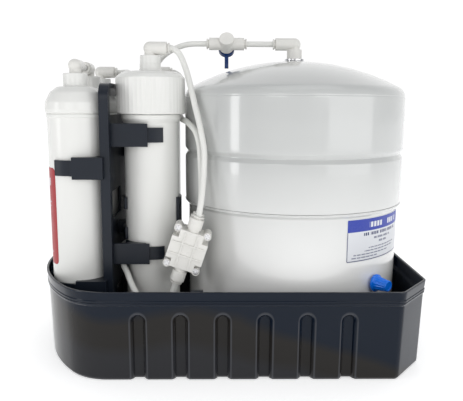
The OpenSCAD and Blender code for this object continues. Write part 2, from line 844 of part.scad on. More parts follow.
module sediment_filter_label() {
    color(RED) translate([filter_x, prefilter_y[0], 107])
        arc_band(filter_r + 0.02, filter_r + 0.14, 103, 165, 232);
}

// ---------- fittings on the filters ----------

// Puts its children at pre-filter `i`'s elbow, with +X along the elbow's leg.
module at_prefilter_elbow(i) {
    turn = [90, -90, 0];
    translate([filter_x, prefilter_y[i], elbow_z]) rotate([0, 0, turn[i]]) children();
}

module prefilter_elbows() {
    for (i = [0 : 2]) at_prefilter_elbow(i) elbow(elbow_drop, leg_l);
}

module sediment_elbow_collet() { at_prefilter_elbow(0) translate([leg_l, 0, 0]) collet(); }
module carbon_elbow_collet() { at_prefilter_elbow(1) translate([leg_l, 0, 0]) collet(); }
module block_elbow_collet() { at_prefilter_elbow(2) translate([leg_l, 0, 0]) collet(); }

module post_filter_tee() {
    color(FITTING_WHITE) translate([post_pos[0], post_pos[1], elbow_z]) difference() {
        union() {
            translate([0, 0, -elbow_drop]) cylinder(r = stem_r, h = elbow_drop);
            sphere(r = leg_r);
            for (a = [0, -90]) rotate([0, 0, a]) leg(leg_l);
        }
        for (a = [0, -90]) rotate([0, 0, a]) translate([leg_l, 0, 0]) socket();
        translate([0, 0, -elbow_drop - CUT]) cylinder(r = bore_r, h = elbow_drop + CUT);
    }
}

module tee_product_collet() {
    translate([post_pos[0] + leg_l, post_pos[1], elbow_z]) collet();
}

module tee_tank_collet() {
    translate([post_pos[0], post_pos[1] - leg_l, elbow_z]) rotate([0, 0, -90]) collet();
}

// A low elbow under a port, with its open leg turned by `a`.
module lower_fitting(x, y, a) {
    drop = 12;
    translate([x, y, port_z - drop]) rotate([0, 0, a])
        color(FITTING_WHITE) difference() {
            union() {
                cylinder(r = 4.9, h = drop + 8);
                cylinder(r = leg_r, h = drop - 0.3);
                sphere(r = leg_r);
                leg(leg_l);
            }
            translate([leg_l, 0, 0]) rotate([0, -90, 0]) translate([0, 0, -CUT])
                cylinder(r = tube_d / 2 + 0.1, h = 14 + CUT);
            translate([leg_l, 0, 0]) rotate([0, -90, 0]) cylinder(r = bore_r, h = leg_l);
            cylinder(r = bore_r, h = drop + 8 + CUT);
        }
}

module lower_port_fittings() {
    lower_fitting(filter_x, prefilter_y[0], 0);
    lower_fitting(filter_x, prefilter_y[1], 90);
    lower_fitting(filter_x, prefilter_y[2], -90);
    lower_fitting(post_pos[0], post_pos[1], 90);
    lower_fitting(mem_pos[0] - 13, mem_pos[1], -90);
    lower_fitting(mem_pos[0] + 13, mem_pos[1], -90);
}

// ---------- four-way valve ----------

// Puts its children at the valve's centre, with local +Z along its ports.
module at_shutoff() {
    translate(shutoff_pos) rotate([0, shutoff_lean, 0]) children();
}

// Puts its children at the mouth of a port, with +X pointing out of it.
module at_port(up, side) {
    at_shutoff() translate([0, side * port_gap / 2, up * port_reach])
        rotate([0, -90 * up, 0]) children();
}

// Puts its children at each screw, starting at depth y, with +Z pointing to the back.
module each_screw(y) {
    for (x = [-screw_x, screw_x], z = [-screw_z, screw_z])
        translate([x, y, z]) rotate([-90, 0, 0]) children();
}

// A block of the valve's body, `w` wide and `h` high, from depth y0 to y1.
module valve_block(w, h, y0, y1) {
    translate([-w / 2, y0, -h / 2]) cube([w, y1 - y0, h]);
}

// One half of the valve's body, with its two ports and half of the chamber.
module shutoff_half(side) {
    face = shutoff_t / 2;
    split = 0.02;
    body_y = side < 0 ? [-face, -split] : [split, face];
    web_y = side < 0 ? [-5, -split] : [split, 5];
    rib_y = side < 0 ? [-face - 1.2, -face + 1] : [face - 1, face + 1.2];
    ear_from = side < 0 ? -ear_y : split;
    block_h = 40;
    color(FITTING_WHITE) difference() {
        union() {
            at_shutoff() {
                valve_block(25, block_h, body_y[0], body_y[1]);
                valve_block(38, 23, body_y[0], body_y[1]);
                valve_block(2 * screw_x, 2 * screw_z, web_y[0], web_y[1]);
                each_screw(ear_from) cylinder(r = ear_r, h = ear_y - split);
                for (x = [-6.5, 6.5])
                    translate([x, 0, 0]) valve_block(1.6, block_h - 4, rib_y[0], rib_y[1]);
                for (z = [-6, 6])
                    translate([0, 0, z]) valve_block(34, 1.6, rib_y[0], rib_y[1]);
            }
            for (up = [-1, 1]) at_port(up, side) {
                translate([-10.5, 0, 0]) rotate([0, 90, 0]) cylinder(r = port_r, h = 10.5);
                translate([block_h / 2 - port_reach - 1, 0, 0]) rotate([0, 90, 0])
                    cylinder(r = port_neck_r, h = 6);
            }
        }
        for (up = [-1, 1]) at_port(up, side) {
            socket();
            rotate([0, -90, 0]) cylinder(r = bore_r, h = port_reach - 9.5);
        }
        at_shutoff() {
            rotate([90, 0, 0]) cylinder(r = 11, h = 12, center = true);
            rotate([90, 0, 0]) cylinder(r = 3.05, h = 20, center = true);
            each_screw(-ear_y - CUT) {
                cylinder(r = 1.8, h = 2 * ear_y - 2);
                cylinder(r = 3.2, h = 2.6 + CUT);
            }
        }
    }
}

module shutoff_front_cover() { shutoff_half(-1); }
module shutoff_rear_cover() { shutoff_half(1); }

module shutoff_plunger() {
    color("#2f3236") at_shutoff() rotate([90, 0, 0]) {
        cylinder(r = 10.4, h = 3, center = true);
        cylinder(r = 3, h = 16, center = true);
    }
}

module shutoff_screws() {
    color(STEEL) at_shutoff() each_screw(0.4 - ear_y) {
        difference() {
            cylinder(r = 3.1, h = 2.2);
            translate([-2.2, -0.4, -CUT]) cube([4.4, 0.8, 2]);
            translate([-0.4, -2.2, -CUT]) cube([0.8, 4.4, 2]);
        }
        cylinder(r = 1.75, h = 16);
    }
}

module shutoff_membrane_collet() { at_port(1, -1) collet(); }
module shutoff_product_collet() { at_port(1, 1) collet(); }
module shutoff_feed_collet() { at_port(-1, -1) collet(); }
module shutoff_permeate_collet() { at_port(-1, 1) collet(); }

// ---------- tubes ----------

module tank_link_tube() { color(WHITE) swept_tube(tank_link_route, tube_d, 1); }
module filter_link_tube() { color(WHITE) swept_tube(filter_link_route, tube_d, 1); }
module membrane_feed_tube() { color(WHITE) swept_tube(membrane_feed_route, tube_d); }
module tank_line_tube() { color(WHITE) swept_tube(tank_line_route, tube_d); }
module product_tube() { color(WHITE) swept_tube(product_route, tube_d); }
module feed_tube() { color(WHITE) swept_tube(feed_route, tube_d); }

base_tray();
filter_bracket();
upper_filter_clips();
lower_filter_clips();
membrane_hooks();
tank_upper_shell();
tank_lower_shell();
tank_bladder();
tank_base_ring();
tank_outlet_nipple();
tank_label();
air_valve_stem();
air_valve_pin();
air_valve_cap();
tank_elbow();
tank_elbow_collet();
ball_valve_body();
ball_valve_ball();
ball_valve_lever();
ball_valve_tank_collet();
ball_valve_line_collet();
membrane_housing();
membrane_cap();
membrane_cap_seal();
membrane_element();
membrane_elbow();
membrane_elbow_collet();
sediment_filter_housing();
sediment_filter_core();
sediment_filter_label();
carbon_filter_housing();
carbon_filter_core();
block_filter_housing();
block_filter_core();
post_filter_housing();
post_filter_core();
prefilter_elbows();
sediment_elbow_collet();
carbon_elbow_collet();
block_elbow_collet();
post_filter_tee();
tee_tank_collet();
tee_product_collet();
lower_port_fittings();
shutoff_front_cover();
shutoff_rear_cover();
shutoff_plunger();
shutoff_screws();
shutoff_membrane_collet();
shutoff_product_collet();
shutoff_feed_collet();
shutoff_permeate_collet();
tank_link_tube();
filter_link_tube();
membrane_feed_tube();
tank_line_tube();
product_tube();
feed_tube();
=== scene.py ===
"""A reverse osmosis unit: filters, membrane housing and pressure tank in a black tray."""

import json
import math
import bmesh
import bpy
from mathutils import Matrix, Vector


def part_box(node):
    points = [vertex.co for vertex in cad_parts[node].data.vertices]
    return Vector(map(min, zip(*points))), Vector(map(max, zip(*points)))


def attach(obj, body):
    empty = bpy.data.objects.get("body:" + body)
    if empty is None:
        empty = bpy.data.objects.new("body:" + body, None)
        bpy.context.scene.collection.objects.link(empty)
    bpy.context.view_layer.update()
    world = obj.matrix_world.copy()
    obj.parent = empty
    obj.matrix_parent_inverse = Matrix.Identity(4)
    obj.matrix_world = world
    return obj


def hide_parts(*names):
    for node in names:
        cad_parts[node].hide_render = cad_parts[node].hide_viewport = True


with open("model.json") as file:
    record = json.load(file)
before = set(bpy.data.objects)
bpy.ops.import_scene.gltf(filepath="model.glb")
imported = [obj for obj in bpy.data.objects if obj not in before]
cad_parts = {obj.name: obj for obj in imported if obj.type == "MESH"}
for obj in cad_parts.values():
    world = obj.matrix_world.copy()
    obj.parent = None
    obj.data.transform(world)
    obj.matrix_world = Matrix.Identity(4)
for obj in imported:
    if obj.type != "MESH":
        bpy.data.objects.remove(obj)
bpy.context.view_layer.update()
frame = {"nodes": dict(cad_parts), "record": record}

MM = 0.001
UNIT = "unit"


# ---------- places, from the frame ----------

class Box:
    """A node's box at rest, in millimetres."""

    def __init__(self, node):
        low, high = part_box(node)
        self.low = Vector(low) / MM
        self.high = Vector(high) / MM
        self.mid = (self.low + self.high) / 2
        self.size = self.high - self.low


# ---------- camera ----------

CAMERA_PLACE = Vector((-7.6, -687.3, 276.2))
CAMERA_YAW, CAMERA_PITCH, CAMERA_ROLL = 1.07, 9.43, 0.35
CAMERA_LENS = 45.07


def make_camera():
    """The camera that sees the unit's long side from a little above."""
    yaw, pitch, roll = (math.radians(a) for a in (CAMERA_YAW, CAMERA_PITCH, CAMERA_ROLL))
    ahead = Vector((math.sin(yaw) * math.cos(pitch), math.cos(yaw) * math.cos(pitch),
                    -math.sin(pitch)))
    level = Vector((math.cos(yaw), -math.sin(yaw), 0))
    above = level.cross(ahead)
    right = level * math.cos(roll) + above * math.sin(roll)
    up = above * math.cos(roll) - level * math.sin(roll)
    data = bpy.data.cameras.new("camera")
    data.lens = CAMERA_LENS
    data.sensor_width = 36
    data.clip_end = 20
    camera = bpy.data.objects.new("camera", data)
    place = Matrix((right, up, -ahead)).transposed().to_4x4()
    place.translation = CAMERA_PLACE * MM
    camera.matrix_world = place
    bpy.context.scene.collection.objects.link(camera)
    bpy.context.scene.camera = camera


# ---------- tubes ----------

TUBE_D = 6.35
MEMBRANE_FEED = [(-70, -50, 334.5), (-63, -50, 334.5), (-60, -50, 334.5), (-52, -53, 328.5),
                 (-45.5, -58, 314), (-41, -63, 299), (-35, -73, 275), (-29, -84, 252),
                 (-25, -91, 228), (-25.5, -96, 202), (-27.5, -103, 180), (-29.7, -106.5, 166),
                 (-30.7, -106.5, 163), (-33, -106.5, 156.1)]
TANK_LINE = [(-17, 0, 344.5), (-24, 0, 344.5), (-28, 0, 344.5), (-46, 1, 343.8), (-62, 5, 339),
             (-75, 11, 331.5), (-83, 19, 323.5), (-88, 28, 317.5), (-90, 35, 315),
             (-90, 38, 315), (-90, 45, 315)]
PRODUCT = [(-77, 58, 315), (-69, 58, 315), (-66, 58, 315), (-59, 53, 310), (-56, 42, 300),
           (-56, 26, 287), (-57, 6, 274), (-55, -15, 264.5), (-51, -34, 259.5),
           (-44.5, -53, 257), (-35, -73, 248.5), (-30.5, -80, 236), (-29, -84, 222),
           (-28, -87, 200), (-28, -90.5, 181), (-29.7, -91.5, 166), (-30.7, -91.5, 163),
           (-33, -91.5, 156.1)]
FEED = [(-51.4, -106.5, 101.1), (-53.7, -106.5, 94.2), (-54.7, -106.5, 91.2),
        (-60, -107.5, 76), (-68, -109, 65), (-79, -108, 63), (-89, -104, 71), (-98, -97, 81),
        (-104, -88, 89), (-108.5, -80, 96), (-114, -72, 104), (-116, -60, 112), (-118, -44, 118),
        (-112, -25, 121), (-113, -10, 128), (-116, 3, 139), (-117.5, 10, 156), (-117.5, 12, 180),
        (-117.5, 12, 215), (-117, 12, 250), (-116, 13, 284), (-117, 26, 303), (-121, 45, 313),
        (-127, 60, 315.2), (-135, 65, 315), (-139, 65, 315), (-147, 65, 315)]
TANK_LINK = [(14, 0, 344.5), (59, 0, 344.5)]
FILTER_LINK = [(-160.2, -51, 315), (-160.2, -14, 315)]


def between(a, b, c, d, u):
    """A point of a smooth curve through b and c, a share u of the way."""
    return 0.5 * (2 * b + (c - a) * u + (2 * a - 5 * b + 4 * c - d) * u * u
                  + (3 * b - a - 3 * c + d) * u ** 3)


def smooth_route(route, steps=8):
    p = [Vector(q) for q in route]
    last = len(p) - 1
    out = [between(p[max(i - 1, 0)], p[i], p[i + 1], p[min(i + 2, last)], s / steps)
           for i in range(last) for s in range(steps)]
    return out + [p[-1]]


def tube(name, node, route, material):
    """A plastic tube along a route, in place of its plain CAD solid."""
    line = smooth_route(route)
    data = bpy.data.curves.new(name, "CURVE")
    data.dimensions = "3D"
    data.bevel_depth = TUBE_D / 2 * MM
    data.bevel_resolution = 6
    data.use_fill_caps = True
    spline = data.splines.new("POLY")
    spline.points.add(len(line) - 1)
    for point, place in zip(spline.points, line):
        point.co = (*(place * MM), 1)
    spline.use_smooth = True
    data.materials.append(material)
    piece = bpy.data.objects.new(name, data)
    bpy.context.scene.collection.objects.link(piece)
    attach(piece, UNIT)
    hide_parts(node)


# ---------- materials ----------

class Nodes:
    """Short calls for building one material's nodes."""

    def __init__(self, name):
        self.material = bpy.data.materials.new(name)
        self.material.use_nodes = True
        self.tree = self.material.node_tree
        self.shader = self.tree.nodes["Principled BSDF"]
        self.place = self.new("ShaderNodeTexCoord").outputs["Object"]

    def new(self, kind, **settings):
        node = self.tree.nodes.new(kind)
        for key, value in settings.items():
            setattr(node, key, value)
        return node

    def link(self, source, target):
        self.tree.links.new(source, target)

    def set(self, **values):
        for key, value in values.items():
            self.shader.inputs[key.replace("_", " ")].default_value = value

    def noise(self, scale, detail=2.0, roughness=0.5):
        node = self.new("ShaderNodeTexNoise")
        node.inputs["Scale"].default_value = scale
        node.inputs["Detail"].default_value = detail
        node.inputs["Roughness"].default_value = roughness
        self.link(self.place, node.inputs["Vector"])
        return node.outputs["Fac"]

    def remap(self, value, low, high, from_low=0.0, from_high=1.0):
        node = self.new("ShaderNodeMapRange")
        node.inputs["From Min"].default_value = from_low
        node.inputs["From Max"].default_value = from_high
        node.inputs["To Min"].default_value = low
        node.inputs["To Max"].default_value = high
        self.link(value, node.inputs["Value"])
        return node.outputs["Result"]

    def math(self, operation, a, b=None):
        node = self.new("ShaderNodeMath", operation=operation)
        for socket, value in zip(node.inputs, (a, b)):
            if value is None:
                continue
            if isinstance(value, (int, float)):
                socket.default_value = value
            else:
                self.link(value, socket)
        return node.outputs[0]

    def mix(self, share, a, b):
        node = self.new("ShaderNodeMix", data_type="RGBA")
        if isinstance(share, (int, float)):
            node.inputs[0].default_value = share
        else:
            self.link(share, node.inputs[0])
        for socket, value in ((node.inputs[6], a), (node.inputs[7], b)):
            if isinstance(value, tuple):
                socket.default_value = (*value, 1)
            else:
                self.link(value, socket)
        return node.outputs[2]

    def split(self, vector):
        node = self.new("ShaderNodeSeparateXYZ")
        self.link(vector, node.inputs[0])
        return node.outputs

    def facing_up(self):
        """How far the surface faces up, from 0 to 1."""
        normal = self.new("ShaderNodeNewGeometry").outputs["Normal"]
        return self.remap(self.split(normal)["Z"], 0.0, 1.0, 0.35, 1.0)

    def colour(self, output):
        self.link(output, self.shader.inputs["Base Color"])

    def rough(self, output):
        self.link(output, self.shader.inputs["Roughness"])

    def relief(self, height, depth, rounding=0.0):
        """Bump of `depth` metres, over edges rounded by `rounding` metres."""
        bump = self.new("ShaderNodeBump")
        bump.inputs["Strength"].default_value = 1.0
        bump.inputs["Distance"].default_value = depth
        self.link(height, bump.inputs["Height"])
        if rounding:
            bevel = self.new("ShaderNodeBevel", samples=6)
            bevel.inputs["Radius"].default_value = rounding
            self.link(bevel.outputs[0], bump.inputs["Normal"])
        self.link(bump.outputs[0], self.shader.inputs["Normal"])


DUST_TONE = (0.42, 0.41, 0.39)
GRAIN_SCALE = 900


def moulded(name, base, rough, grain=0.00001, dust=0.0, shade=0.92, rounding=0.0004,
            haze=0.05, shine=0.5):
    """Moulded plastic: a fine skin, uneven gloss, faint tone changes and dust on top."""
    n = Nodes(name)
    broad = n.noise(14, 3)
    tone = n.mix(n.remap(broad, 0, 1, 0.35, 0.7), tuple(c * shade for c in base), base)
    if dust:
        speck = n.noise(160, 4, 0.7)
        share = n.math("MULTIPLY", n.facing_up(), n.remap(speck, 0, dust, 0.35, 0.75))
        tone = n.mix(share, tone, DUST_TONE)
    n.colour(tone)
    smear = n.noise(45, 4, 0.6)
    n.rough(n.remap(smear, rough - haze, rough + haze, 0.3, 0.7))
    n.relief(n.noise(GRAIN_SCALE, 3), grain, rounding)
    n.set(IOR=1.5, Specular_IOR_Level=shine)
    return n.material


# painted reflection: bands of colour that stand for the room reflected in the glossy black
TRAY_RIM_REFLECTION = (0.0045, 0.009, 0.0185)
TRAY_WALL_REFLECTION = (0.0165, 0.015, 0.0138)
TRAY_FOOT_REFLECTION = (0.02, 0.0205, 0.0235)
# painted highlight on the tray's edges
TRAY_EDGE_HIGHLIGHT = (0.062, 0.065, 0.074)
TRAY_DUST_TONE = (0.3, 0.29, 0.27)


def tray_plastic():
    """Glossy black, with a painted reflection of the room in bands: bluish under the rim, browner
    below, greyer at the foot; and painted highlights on its edges.
    """
    n = Nodes("tray_plastic")
    spot = n.split(n.place)
    # the bands of painted reflection follow height, with a little noise and a shift towards the right
    # end
    wave = n.remap(n.noise(6, 2), -0.012, 0.012, 0.3, 0.7)
    reflection_shift = n.remap(spot["X"], 0, 0.065, 0.01, 0.2)
    level = n.math("ADD", n.math("ADD", spot["Z"], wave), reflection_shift)
    middle = n.remap(level, 1.0, 0.0, 0.064, 0.076)
    foot = n.remap(level, 1.0, 0.0, 0.026, 0.04)
    tone = n.mix(middle, TRAY_RIM_REFLECTION, TRAY_WALL_REFLECTION)
    tone = n.mix(foot, tone, TRAY_FOOT_REFLECTION)
    # painted highlight: convex edges and the channel lips are painted paler
    edges = n.new("ShaderNodeNewGeometry").outputs["Pointiness"]
    tone = n.mix(n.remap(edges, 0, 0.85, 0.506, 0.53), tone, TRAY_EDGE_HIGHLIGHT)
    speck = n.remap(n.noise(170, 4, 0.7), 0.0, 0.035, 0.4, 0.8)
    tone = n.mix(n.math("MULTIPLY", n.facing_up(), speck), tone, TRAY_DUST_TONE)
    n.colour(tone)
    n.rough(n.remap(n.noise(28, 4, 0.6), 0.07, 0.16, 0.3, 0.7))
    n.relief(n.noise(60, 2), 0.00008, 0.0007)
    n.set(IOR=1.5, Specular_IOR_Level=0.2)
    return n.material


# heights over which painted light and shade turn the paint from whiter at the foot to greyer at the
# top
PAINTED_LIGHT_LOW_Z, PAINTED_LIGHT_HIGH_Z = 0.09, 0.215


def painted_steel(name, high, low, shade=0.97):
    """Glossy white powder coat with a faint orange peel, and painted light and shade: whiter towards
    the foot, greyer towards the top.
    """
    n = Nodes(name)
    height = n.remap(n.split(n.place)["Z"], 0, 1, PAINTED_LIGHT_LOW_Z, PAINTED_LIGHT_HIGH_Z)
    tone = n.mix(height, low, high)
    grey = n.mix(height, tuple(c * shade for c in low), tuple(c * shade for c in high))
    n.colour(n.mix(n.remap(n.noise(9, 3), 0, 1, 0.3, 0.7), grey, tone))
    n.rough(n.remap(n.noise(30, 3), 0.14, 0.24, 0.3, 0.7))
    n.relief(n.noise(150, 2), 0.00002)
    n.set(Coat_Weight=0.7, Coat_Roughness=0.05, IOR=1.55)
    return n.material


def bare_metal(name, base, rough):
    n = Nodes(name)
    n.colour(n.mix(n.remap(n.noise(120, 3), 0, 1, 0.35, 0.7), tuple(c * 0.85 for c in base), base))
    n.rough(n.remap(n.noise(260, 3), rough - 0.06, rough + 0.1, 0.3, 0.7))
    n.relief(n.noise(1400, 2), 0.000008, 0.0002)
    n.set(Metallic=1.0)
    return n.material


def rubber(name, base):
    n = Nodes(name)
    n.colour(n.mix(n.remap(n.noise(60, 3), 0, 1), base, tuple(c * 1.5 for c in base)))
    n.rough(n.remap(n.noise(90, 3), 0.6, 0.8))
    n.relief(n.noise(700, 3), 0.00003)
    return n.material


def inside_box(n, u, v, low_u, high_u, low_v, high_v):
    """1 where u and v lie inside a rectangle, 0 outside."""
    inside_u = n.math("MULTIPLY", n.math("GREATER_THAN", u, low_u), n.math("LESS_THAN", u, high_u))
    inside_v = n.math("MULTIPLY", n.math("GREATER_THAN", v, low_v), n.math("LESS_THAN", v, high_v))
    return n.math("MULTIPLY", inside_u, inside_v)


BLUE_INK = (0.01, 0.035, 0.36)
DARK_INK = (0.012, 0.025, 0.11)
RED_INK = (0.36, 0.004, 0.009)
PAPER = (0.7, 0.715, 0.75)
DASH_PITCH = 0.95         # in heights of the line of print
DASH_SHARE = 0.7
WORD_PITCH = 5.3          # in dashes
WORD_SHARE = 0.86


def broken_line(n, u, v, box):
    """A row of small uneven dashes that stands for a line of print."""
    v0, v1 = box[2:]
    pitch = (v1 - v0) * DASH_PITCH
    step = n.math("FRACT", n.math("MULTIPLY", u, 1 / pitch))
    words = n.math("FRACT", n.math("MULTIPLY", u, 1 / (pitch * WORD_PITCH)))
    dashes = n.math("MULTIPLY", n.math("LESS_THAN", step, DASH_SHARE),
                    n.math("LESS_THAN", words, WORD_SHARE))
    return n.math("MULTIPLY", inside_box(n, u, v, *box), dashes)


def printed_label(name, layers, paper, size):
    """A printed label in its own UV millimetres. A layer is an ink with its plain boxes and its
    lines of print."""
    n = Nodes(name)
    uv = n.split(n.new("ShaderNodeUVMap", uv_map="label").outputs[0])
    u, v = n.math("MULTIPLY", uv["X"], size[0]), n.math("MULTIPLY", uv["Y"], size[1])
    tone = n.mix(n.remap(n.noise(40, 3), 0, 1, 0.3, 0.7), tuple(c * 0.97 for c in paper), paper)
    worn = n.remap(n.noise(700, 3), 0.975, 1.0, 0.3, 0.6)
    for ink, boxes, lines in layers:
        for mask in ([inside_box(n, u, v, *box) for box in boxes]
                     + [broken_line(n, u, v, line) for line in lines]):
            tone = n.mix(n.math("MULTIPLY", mask, worn), tone, ink)
    n.colour(tone)
    n.rough(n.remap(n.noise(80, 3), 0.3, 0.42, 0.3, 0.7))
    n.relief(n.noise(1200, 3), 0.00001)
    return n.material


def border(size, rim, width):
    """Four thin boxes just inside a label's edge."""
    w, h = size
    return [(rim, w - rim, rim, rim + width), (rim, w - rim, h - rim - width, h - rim),
            (rim, rim + width, rim, h - rim), (w - rim - width, w - rim, rim, h - rim)]


# ---------- mesh building ----------

def soften(points, steps=5):
    """Rounds the corners of a line of (x, y) or (x, y, radius) points."""
    out = []
    for i, point in enumerate(points):
        here = Vector(point[:2])
        radius = point[2] if len(point) > 2 else 0
        if not radius or i in (0, len(points) - 1):
            out.append(tuple(here))
            continue
        back = Vector(points[i - 1][:2]) - here
        on = Vector(points[i + 1][:2]) - here
        half = back.angle(on) / 2
        reach = min(radius / max(math.tan(half), 0.05), 0.48 * back.length, 0.48 * on.length)
        start, end = here + back.normalized() * reach, here + on.normalized() * reach
        for k in range(steps + 1):
            t = k / steps
            out.append(tuple(start * (1 - t) ** 2 + here * 2 * t * (1 - t) + end * t * t))
    return out


class Shape:
    """Points and faces in millimetres, built up from simple solids."""

    def __init__(self):
        self.points = []
        self.faces = []

    def grid(self, rows):
        """Faces between closed rings of points, all of one length."""
        first, width, height = len(self.points), len(rows[0]), len(rows)
        for row in rows:
            self.points += [Vector(p) for p in row]
        for j in range(height - 1):
            a, b = first + j * width, first + (j + 1) * width
            for i in range(width):
                k = (i + 1) % width
                self.faces.append((a + i, a + k, b + k, b + i))
        return self

    def turned(self, profile, place, sides, ripple=None):
        """A profile of (radius, height) turned round local Z."""
        rows = []
        for r, z in profile:
            row = []
            for i in range(sides):
                a = 2 * math.pi * i / sides
                out = r + (ripple(a, r, z) if ripple else 0)
                row.append(place @ Vector((out * math.cos(a), out * math.sin(a), z)))
            rows.append(row)
        return self.grid(rows)

    def slab(self, outline, z0, z1, place):
        """A flat outline made solid from z0 to z1."""
        first, count = len(self.points), len(outline)
        for z in (z0, z1):
            self.points += [place @ Vector((x, y, z)) for x, y in outline]
        low, high = range(first, first + count), range(first + count, first + 2 * count)
        self.faces += [tuple(reversed(low)), tuple(high)]
        for i in range(count):
            k = (i + 1) % count
            self.faces.append((low[i], low[k], high[k], high[i]))

    def piece(self, name, material, nodes, slot, body=UNIT, sharp=35):
        """Makes the Blender object, which rides on a body and stands for CAD nodes."""
        mesh = bpy.data.meshes.new(name)
        mesh.from_pydata([p * MM for p in self.points], [], self.faces)
        work = bmesh.new()
        work.from_mesh(mesh)
        bmesh.ops.remove_doubles(work, verts=work.verts, dist=1e-7)
        bmesh.ops.dissolve_degenerate(work, edges=work.edges, dist=1e-8)
        bmesh.ops.recalc_face_normals(work, faces=work.faces)
        work.to_mesh(mesh)
        work.free()
        mesh.shade_smooth()
        mesh.set_sharp_from_angle(angle=math.radians(sharp))
        mesh.materials.append(material)
        piece = bpy.data.objects.new(name, mesh)
        bpy.context.scene.collection.objects.link(piece)
        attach(piece, body)
        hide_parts(*nodes)


def standing(x, y, z=0.0):
    return Matrix.Translation((x, y, z))


# ---------- tray ----------

TRAY = Box("base_tray")
TRAY_NOSE_R = 187
TRAY_NOSE_FILLET = 58
TRAY_CHAMFER = (36, 44)
TRAY_CORNER_R = 11
TRAY_TAB_X = -31
TRAY_SKIN = 0.15          # keeps the moulding inside the CAD box
TRAY_BAND = 14
TRAY_FLOOR_Z = 2.1
TRAY_ROW = 1.6            # spacing of the outer wall's rows of points
TRAY_INNER_ROWS = 36
CHANNEL_W = 17.6
CHANNEL_TOP = 71.5
CHANNEL_DEPTH = 5.5
CHANNEL_LIP = 2.7         # depth of the rounded lip round a channel
CHANNEL_LIP_W = 3.4
CHANNEL_STEP_AT = 3.0     # where the steep step starts, from the channel's edge
CHANNEL_PITCH = 42.2
CHANNEL_FIRST = -89.7
CHANNELS = 6


def corner_points(before, corner, after, radius, steps=10):
    """Points and outward normals round a corner of the outline."""
    back, on = (before - corner).normalized(), (after - corner).normalized()
    half = back.angle(on) / 2
    centre = corner + (back + on).normalized() * radius / math.sin(half)
    start = (corner + back * radius / math.tan(half) - centre).normalized()
    end = (corner + on * radius / math.tan(half) - centre).normalized()
    turn = math.atan2(start.cross(end), start.dot(end))
    out = []
    for k in range(steps + 1):
        a = math.atan2(start.y, start.x) + turn * k / steps
        normal = Vector((math.cos(a), math.sin(a)))
        out.append((centre + normal * radius, normal))
    return out


def straight_points(a, b, normal, spacing):
    count = max(2, round((b - a).length / spacing))
    return [(a.lerp(b, (k + 0.5) / count), normal) for k in range(count)]


def arc_points(centre, radius, a0, a1, spacing):
    count = max(4, round(abs(a1 - a0) * radius / spacing))
    out = []
    for k in range(count + 1):
        a = a0 + (a1 - a0) * k / count
        normal = Vector((math.cos(a), math.sin(a)))
        out.append((centre + normal * radius, normal))
    return out


def tray_outline():
    """The rim seen from above: points with their outward normals, anticlockwise."""
    left, right = TRAY.low.x + TRAY_SKIN, TRAY.high.x - TRAY_SKIN
    half = TRAY.high.y - TRAY_SKIN
    nose = Vector((left + TRAY_NOSE_R, 0))
    fillet_y = half - TRAY_NOSE_FILLET
    gap = TRAY_NOSE_R - TRAY_NOSE_FILLET
    fillet_x = nose.x - math.sqrt(gap ** 2 - fillet_y ** 2)
    cx, cy = TRAY_CHAMFER
    corners = [Vector((fillet_x, -half)), Vector((right - cx, -half)), Vector((right, cy - half)),
               Vector((right, half - cy)), Vector((right - cx, half)), Vector((fillet_x, half))]
    out = []
    for i in range(1, 5):
        before, here, after = corners[i - 1], corners[i], corners[i + 1]
        rounded = corner_points(before, here, after, TRAY_CORNER_R)
        start = out[-1][0] if out else before
        side = (here - before).normalized()
        fine = 0.7 if abs(side.y) < 0.01 else 6
        out += straight_points(start, rounded[0][0], Vector((side.y, -side.x)), fine)
        out += rounded
    out += straight_points(out[-1][0], corners[5], Vector((0, 1)), 0.7)
    turn = math.atan2(fillet_y, fillet_x - nose.x)
    out += arc_points(Vector((fillet_x, fillet_y)), TRAY_NOSE_FILLET, math.pi / 2, turn, 2)
    out += arc_points(nose, TRAY_NOSE_R, turn, 2 * math.pi - turn, 4)[1:-1]
    out += arc_points(Vector((fillet_x, -fillet_y)), TRAY_NOSE_FILLET, 2 * math.pi - turn,
                      1.5 * math.pi, 2)
    return out


def ease(share):
    share = min(max(share, 0), 1)
    return share * share * (3 - 2 * share)


def channel_depth(x, z):
    """How deep the nearest channel is at a place on a long wall: a soft lip, then a steep step."""
    step = round((x - CHANNEL_FIRST) / CHANNEL_PITCH)
    step = min(max(step, 0), CHANNELS - 1)
    aside = abs(x - CHANNEL_FIRST - step * CHANNEL_PITCH)
    r = CHANNEL_W / 2
    inside = r - (math.hypot(aside, z - (CHANNEL_TOP - r)) if z > CHANNEL_TOP - r else aside)
    return (CHANNEL_LIP * ease(inside / CHANNEL_LIP_W)
            + (CHANNEL_DEPTH - CHANNEL_LIP) * ease(inside - CHANNEL_STEP_AT))


